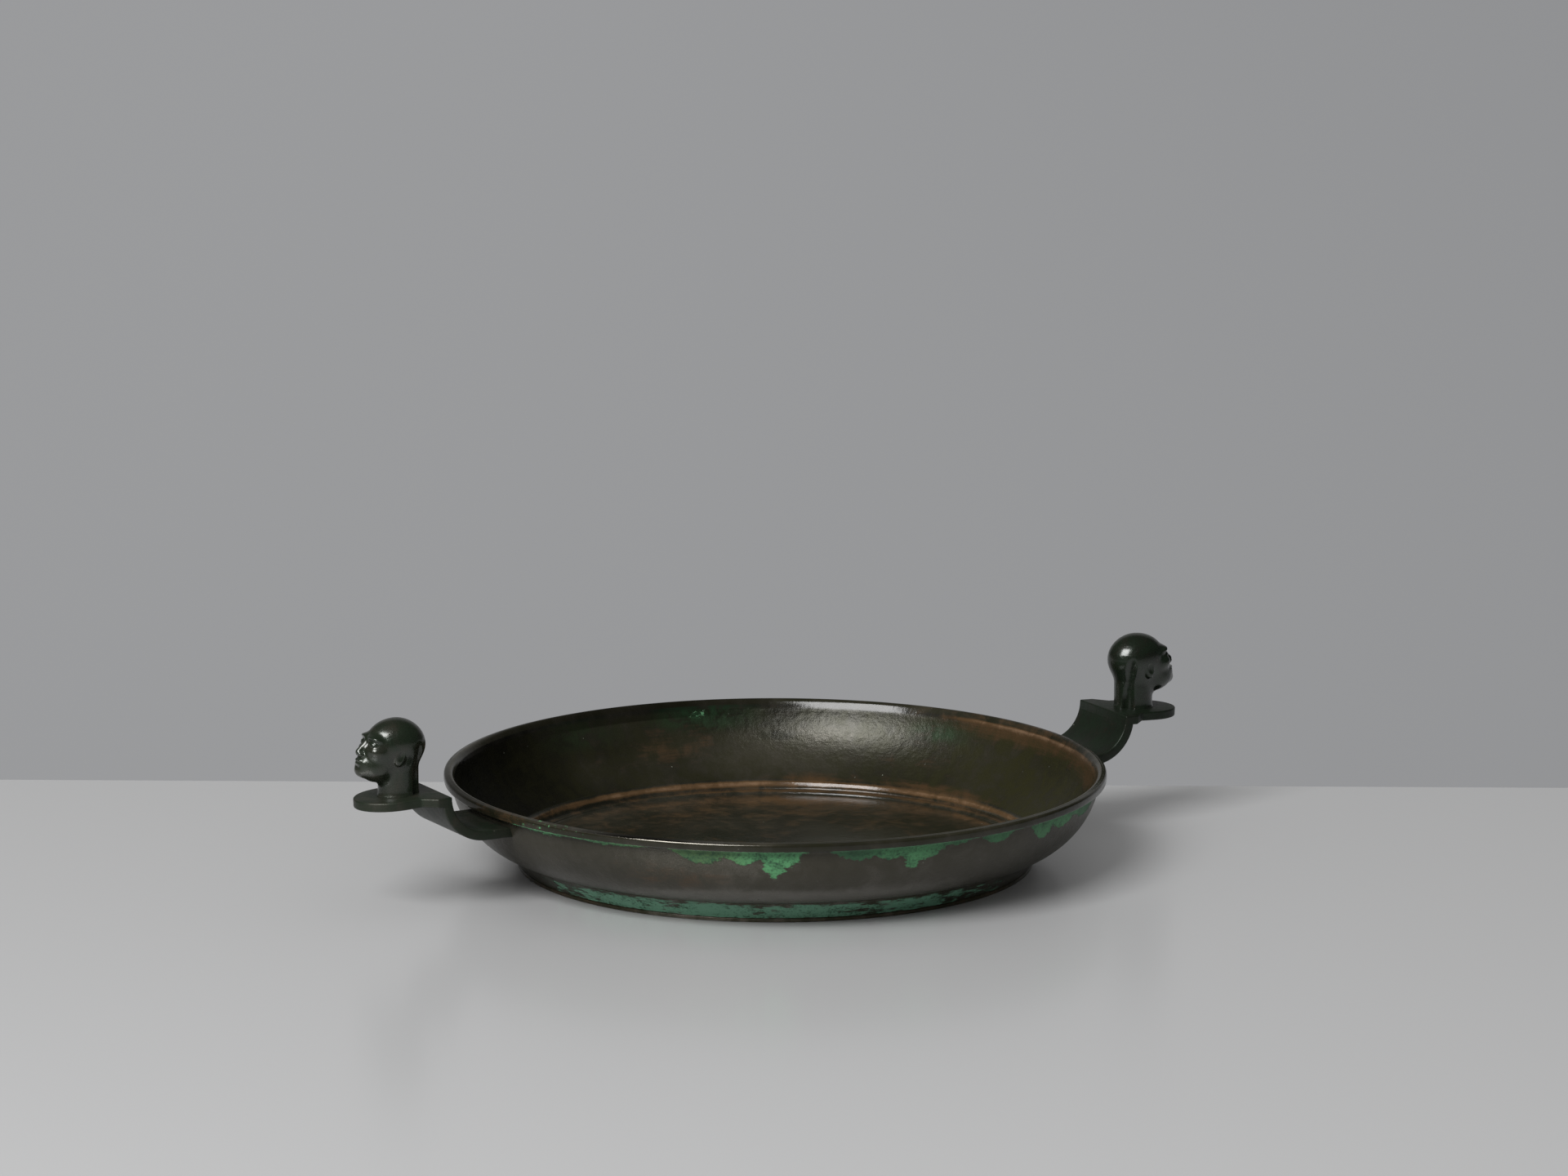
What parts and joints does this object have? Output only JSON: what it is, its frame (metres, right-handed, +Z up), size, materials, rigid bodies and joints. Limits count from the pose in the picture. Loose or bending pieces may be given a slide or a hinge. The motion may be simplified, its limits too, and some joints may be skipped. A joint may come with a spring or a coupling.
{
  "type": "handled dish",
  "caption": "Shallow round bronze dish on a low flared foot, with curved strap handles that carry thumb plates and small sculpted heads looking outwards.",
  "frame": {"origin": "middle of the foot's underside, on the surface the dish stands on", "axes": "+Z up along the dish's axis, +X along the line through both handles"},
  "size_m": [0.4212, 0.3, 0.0864],
  "materials": {
    "dish_bronze": "cast bronze with a dark brown-black patina, satin, copper showing on the worn edge of the step and green under the lip",
    "foot_bronze": "cast bronze with a mottled green-black patina, satin",
    "handle_bronze": "cast bronze with a dark green-black patina, satin, worn brighter along the edges",
    "head_bronze": "cast bronze with a green-black patina, waxed and glossier than the dish"
  },
  "bodies": {
    "root": {"dish_body": "dish_bronze", "foot_ring": "foot_bronze", "right_strap": "handle_bronze", "right_thumb_plate": "handle_bronze", "right_head": "head_bronze", "right_head_stud": "handle_bronze", "left_strap": "handle_bronze", "left_thumb_plate": "handle_bronze", "left_head": "head_bronze", "left_head_stud": "handle_bronze"}
  },
  "joints": []
}
